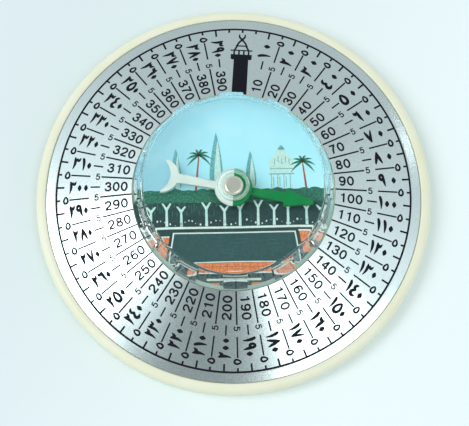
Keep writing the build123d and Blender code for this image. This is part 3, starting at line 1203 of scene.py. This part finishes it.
def sapling(x, y, width, height):
    """A pale trunk that parts into two short boughs."""
    fork = y + height * 0.7
    reach = width * 1.5
    side = [
        (width / 2, y),
        (width * 0.4, fork),
        (reach + width * 0.3, y + height),
        (reach - width * 0.4, y + height),
    ]
    left = [(x - w, h) for w, h in reversed(side[1:])]
    return [(x - width / 2, y)] + [(x + w, h) for w, h in side] + [(x, fork + width)] + left


def card_margin():
    """Printed border of the card. It runs out at the left, because the card was cut a little off centre."""
    bm = bmesh.new()
    outline = band(CARD_RADIUS - CARD_MARGIN, CARD_RADIUS, CARD_TOP, CARD_TOP + MARGIN_LAYERS * LAYER)
    turn_outline(bm, outline, MARGIN_START, MARGIN_SWEEP, CARD_SEGMENTS)
    return finished("picture_margin", bm, margin_ink_painted_sky_tint())


def card_picture():
    """A garden of no real place: cypresses, a pavilion and palms over a grove, a low wall and a long pool."""
    wide = 2 * CARD_RADIUS
    skyline = 0.2
    wall_foot = -5.75
    terrace_left = -6.9
    terrace_width = 16.4
    terrace_far = -11.0
    terrace_near = -12.2
    deep_green = card_ink("deep_green", "#123c3c", "#1f5a4e", 0.5)
    leaf = card_ink("leaf", "#145244", "#2f8468", 0.35)
    shade = card_ink("shade", "#0f3234", "#1b4444", 0.4)
    mint = card_ink("mint", "#b4ddd6", "#d6f0e6")
    pale_leaf = card_ink("pale_leaf", "#4596a0", "#7fc0c4", 0.3)
    terracotta = card_ink("terracotta", "#d46d3a", "#f19660", 0.3)
    joint = card_ink("joint", "#9a4a2c", "#b2603c")
    water = card_ink("water", "#234a4b", "#275353", 0.6)
    ripple = card_ink("ripple", "#2c5e60", "#3a6e6e")
    stone = card_ink("stone", "#cfe3da", "#ecf5ec")
    sky = [block(-wide, skyline, 2 * wide, wide)]
    grove = [block(-wide, wall_foot, 2 * wide, skyline - wall_foot)]
    ground = [block(-wide, -wide, 2 * wide, wide + wall_foot)]
    pavilion = [dome(7.3, 3.3, 1.7, 3.6), block(5.5, 2.6, 3.6, 0.7), block(7.22, 6.8, 0.16, 0.9)]
    pavilion += [block(5.7 + 0.95 * k, skyline, 0.3, 2.4) for k in range(4)]
    trees = ((-8.6, 0.85, 6.6), (-2.5, 1.0, 9.0), (2.6, 0.8, 6.0))
    cores = ((-8.38, 0.4, 5.6), (-2.28, 0.5, 7.8), (2.82, 0.38, 5.1))
    cypresses = [cypress(x, skyline, half, high) for x, half, high in trees]
    cypress_cores = [cypress(x, skyline, half, high) for x, half, high in cores]
    eaves = [block(5.4, 2.45, 3.8, 0.16), block(5.5, 3.28, 3.6, 0.12), dome(7.3, 6.3, 0.42, 0.75)]
    eaves += [block(5.66 + 0.95 * k, skyline, 0.09, 2.3) for k in range(4)]
    eaves += [block(6.0 + 0.95 * k, skyline + 0.4, 0.1, 1.5) for k in range(3)]
    eaves += [block(6.2 + 0.55 * k, 4.0 + 0.35 * (k % 2), 0.12, 0.9) for k in range(5)]
    trunks = []
    fronds = []
    for x, high, lean in ((-5.6, 5.4, 0.5), (11.0, 4.2, -0.5)):
        top = skyline + high
        head = x + lean
        trunks.append([(x - 0.17, skyline), (x + 0.17, skyline), (head + 0.1, top), (head - 0.1, top)])
        fronds += [frond(head, top, pi * (k / 7 * 1.24 - 0.12), 1.9, 0.9, 0.17) for k in range(8)]
    hedges = [hedge(-1.7, skyline - 0.15, 0.32, 1.9, -16, 16)]
    bushes = [hedge(-5.4, -2.3, 0.7, 2.6, -16, 16)]
    bush_lights = []
    for k in range(36):
        foot = -3.1 + 0.8 * sin(2.9 * k)
        bush_lights.append(block(-15.6 + 0.37 * k, foot, 0.1, 0.9 + 0.4 * sin(1.3 * k)))
    young_trees = (
        (-12.4, 3.1), (-10.1, 3.6), (-7.9, 3.1), (-4.1, 3.7), (-1.4, 3.2), (0.9, 3.6), (3.6, 3.9),
        (6.0, 3.2), (8.1, 3.6), (10.9, 3.3), (13.0, 3.0),
    )
    saplings = [sapling(x, wall_foot + 0.4, 0.42, high) for x, high in young_trees]
    flowers = []
    for k in range(44):
        x = -14.2 + 0.66 * k + 0.21 * sin(7.1 * k)
        size = 0.16 + 0.08 * sin(3.7 * k)
        flowers.append(block(x, wall_foot + 0.5 + 0.35 * (1 + sin(5.3 * k)), size, size * 1.3))
    pool_kerb = [(-9.2, -6.3), (-9.8, -10.95), (9.8, -10.95), (9.2, -6.3)]
    coping = [block(-wide, wall_foot, 2 * wide, 0.34), pool_kerb]
    pool = [[(-9.0, -6.5), (-9.6, -10.8), (9.6, -10.8), (9.0, -6.5)]]
    left_path = [(-12.9, -7.0), (-13.6, -10.2), (-10.1, -10.2), (-9.7, -7.0)]
    right_path = [(9.7, -6.3), (10.1, -9.4), (13.2, -9.4), (12.7, -6.3)]
    paths = [left_path, block(terrace_left, terrace_near, terrace_width, 1.2), right_path]
    paths += [block(-6.5, -14.6, 4.2, 0.8), block(2.4, -14.6, 4.8, 0.8)]
    kerbs = [block(-13.0, -7.0, 3.3, 0.22), block(9.6, -6.3, 3.2, 0.22)]
    kerbs += [block(terrace_left, terrace_near - 0.2, terrace_width, 0.2)]
    ripples = []
    for k in range(16):
        x = -7.8 + 13.2 * abs(sin(2.1 * k + 0.4))
        ripples.append(block(x, -7.2 - 0.2 * k, 1.2 + 0.8 * sin(1.7 * k), 0.05))
    shrubs = [hedge(-9.0, -8.4, 0.5, 1.1, -12.6, -11.2), hedge(-8.6, -7.7, 0.4, 1.2, 11.0, 12.4)]
    joints = []
    for k in range(-5, 9):
        far = [(k * 1.1, terrace_far), (k * 1.1 + 0.06, terrace_far)]
        joints.append(far + [(k * 1.16 + 0.07, terrace_near), (k * 1.16, terrace_near)])
    joints.append(block(terrace_left, -11.6, terrace_width, 0.06))
    planters = [block(-11.0, -13.4, 3.6, 0.5), block(-4.2, -13.5, 8.0, 0.35), block(7.6, -13.2, 3.4, 0.5)]
    layers = (
        ("sky", sky_ink(), 0, sky),
        ("grove", deep_green, 0, grove),
        ("ground", shade, 0, ground),
        ("paths", terracotta, 1, paths),
        ("pavilion", mint, 1, pavilion),
        ("eaves", pale_leaf, 2, eaves),
        ("cypresses", pale_leaf, 1, cypresses),
        ("cypress_cores", mint, 2, cypress_cores),
        ("trunks", joint, 1, trunks),
        ("fronds", leaf, 2, fronds),
        ("hedges", leaf, 3, hedges),
        ("bushes", shade, 1, bushes),
        ("bush_lights", leaf, 2, bush_lights),
        ("saplings", mint, 4, saplings),
        ("flowers", stone, 4, flowers),
        ("joints", joint, 2, joints),
        ("kerbs", stone, 3, kerbs),
        ("coping", stone, 2, coping),
        ("pool", water, 3, pool),
        ("ripples", ripple, 4, ripples),
        ("shrubs", shade, 2, shrubs),
        ("planters", stone, 2, planters),
    )
    inks = [patches(name, ink, layer, outlines) for name, ink, layer, outlines in layers]
    outline = band(CARD_HOLE, CARD_RADIUS, TRAY_TOP, CARD_TOP)
    base = turned("picture_base", outline, stone, CARD_SEGMENTS)
    return base, inks + [card_margin()]


# The compass
def dress(piece, body, slot, *nodes):
    """Let a piece ride on a body and stand for CAD nodes. The slot is not used."""
    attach(piece, body)
    if nodes:
        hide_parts(*nodes)


dress(case_shell(), "case", "cream_plastic", "case_base")
dress(dial_face(), "case", "silvered_dial", "dial_sheet")
for printed in dial_print():
    dress(printed, "case", "silvered_dial")
dress(capsule_window(), "case", "clear_plastic", "capsule_lid")
dress(boss_highlight_veil(), "case", "clear_plastic")
card, card_inks = card_picture()
dress(card, "case", "printed_card", "picture_card")
for printed in card_inks:
    dress(printed, "case", "printed_card")
dress(arrow_half(), "needle", "green_plastic", "needle_arrow")
dress(crescent_half(), "needle", "white_plastic", "needle_crescent")
dress(cup_cap(), "needle", "nickel", "bearing_cup")

NODE_FINISH = {
    "capsule_base": WHITE,
    "pivot_bush": BRASS,
    "pivot_pin": STEEL,
    "hub_washer": BRASS,
    "ring_magnet": ferrite(),
    "bearing_jewel": ruby_glass(),
}
for name, material in NODE_FINISH.items():
    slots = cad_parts[name].data.materials
    slots.clear()
    slots.append(material)


# Floor, light and camera
FLOOR_GAP = 0.02
FLOOR_PAINTED_LIGHT_SPAN = 40
FLOOR_HALF_M = 3.0
LAMP_DISTANCE_M = 0.7


def set_up(name, holds, axes, place):
    """A lamp or camera at a place in metres, with its own X, Y and Z along three axes."""
    holder = bpy.data.objects.new(name, holds)
    pose = Matrix(axes).transposed().to_4x4()
    pose.translation = place
    holder.matrix_world = pose
    bpy.context.scene.collection.objects.link(holder)
    return holder


def pale_floor():
    """Wide pale floor under the compass, with painted light: a little lighter towards the near right."""
    bm = bmesh.new()
    bmesh.ops.create_grid(bm, x_segments=1, y_segments=1, size=FLOOR_HALF_M)
    bmesh.ops.translate(bm, vec=(0, 0, -FLOOR_GAP * MM), verts=bm.verts)
    mesh = bpy.data.meshes.new("floor")
    bm.to_mesh(mesh)
    bm.free()
    material, tree, shader, place = new_material("pale_matt_paper_painted_light", Roughness=0.9, Specular_IOR_Level=0.1)
    spot = node(tree, "ShaderNodeSeparateXYZ", {"Vector": place}).outputs
    # painted light: the floor's colour runs lighter towards the near right
    painted_light_slant = node(tree, "ShaderNodeMath", {0: spot["Y"], 1: -0.5, 2: spot["X"]}, operation="MULTIPLY_ADD")
    side = scaled(tree, painted_light_slant.outputs["Value"], -FLOOR_PAINTED_LIGHT_SPAN * MM, FLOOR_PAINTED_LIGHT_SPAN * MM, smooth=True)
    tree.links.new(blended(tree, side, "#e2eeef", "#f4ffff"), shader.inputs["Base Color"])
    mesh_object("floor", mesh, material)


def softbox(name, first, last, width, radiance):
    """A rectangular lamp that faces the compass, with its long side between two directions."""
    first = Vector(first).normalized()
    last = Vector(last).normalized()
    way = (first + last).normalized()
    along = (last - first).normalized()
    lamp = bpy.data.lights.new(name, "AREA")
    lamp.shape = "RECTANGLE"
    lamp.size = width
    lamp.size_y = (last - first).length * LAMP_DISTANCE_M
    lamp.energy = radiance * pi * lamp.size * lamp.size_y
    set_up(name, lamp, (along.cross(way), along, way), way * LAMP_DISTANCE_M)


ROOM_GLOW = 0.95
# Dimmer parts of the room: direction, cosines where each fades in and is full, and what it leaves of the glow
DIM_PARTS = (
    ((0.0, 0.8, 0.6), 0.7, 0.97, 0.59),
    ((-0.08, -0.3, 0.95), 0.955, 0.99, 0.3),
    ((0.0, 0.245, 0.97), 0.92, 0.98, 0.16),
    ((0.0, -0.95, 0.3), 0.68, 0.97, 0.45),
    ((0.5, 0.38, 0.78), 0.95, 0.995, 0.72),
)


def room():
    """Even pale surroundings, dimmer overhead and at the far, near and right sides."""
    world = bpy.data.worlds.new("room")
    world.use_nodes = True
    tree = world.node_tree
    tree.nodes.clear()
    way = node(tree, "ShaderNodeTexCoord").outputs["Generated"]
    glow = ROOM_GLOW
    for direction, fade, full, left in DIM_PARTS:
        links = {0: way, 1: Vector(direction).normalized()}
        facing = node(tree, "ShaderNodeVectorMath", links, operation="DOT_PRODUCT")
        dim = scaled(tree, facing.outputs["Value"], fade, full, 1.0, left, smooth=True)
        glow = node(tree, "ShaderNodeMath", {0: glow, 1: dim}, operation="MULTIPLY").outputs["Value"]
    light = node(tree, "ShaderNodeBackground", {"Color": linear("#f4fbff"), "Strength": glow})
    node(tree, "ShaderNodeOutputWorld", {"Surface": light.outputs["Background"]})
    bpy.context.scene.world = world


# The camera was fitted to the dial's ring and marks in the 469 by 426 frame of the photograph
FRAME_WIDTH = 469
FOCAL_PIXELS = 1991.8
SENSOR = 36.0
CAMERA_TILT = radians(14.175)
CAMERA_TURN = radians(3.064)
CAMERA_REACH = 11.243 * RING_RADIUS
CAMERA_RIGHT = 0.00558 * RING_RADIUS
CAMERA_DOWN = 0.08913 * RING_RADIUS
CAMERA_CLIP_M = 0.005


def viewpoint():
    """Camera over the near side, looking down at the ring's centre."""
    right = Vector((1, 0, 0))
    up = Vector((0, cos(CAMERA_TILT), sin(CAMERA_TILT)))
    back = Vector((0, -sin(CAMERA_TILT), cos(CAMERA_TILT)))
    turn = Matrix.Rotation(CAMERA_TURN, 3, "Z")
    right, up, back = (turn @ axis for axis in (right, up, back))
    centre = Vector((0, 0, dial_top(RING_RADIUS)))
    place = centre + right * CAMERA_RIGHT - up * CAMERA_DOWN + back * CAMERA_REACH
    camera = bpy.data.cameras.new("camera")
    camera.sensor_width = SENSOR
    camera.lens = FOCAL_PIXELS * SENSOR / FRAME_WIDTH
    camera.clip_start = CAMERA_CLIP_M
    bpy.context.scene.camera = set_up("camera", camera, (right, up, back), place * MM)


pale_floor()
softbox("left_softbox", (-0.475, -0.225, 0.853), (-0.645, 0.12, 0.755), 0.5, 3.35)
softbox("right_softbox", (0.45, -0.09, 0.89), (0.17, -0.31, 0.93), 0.32, 1.65)
softbox("small_lamp", (0.37, 0.4, 0.84), (0.43, 0.4, 0.81), 0.045, 6.0)
room()
viewpoint()
bpy.context.scene.view_settings.view_transform = "Standard"
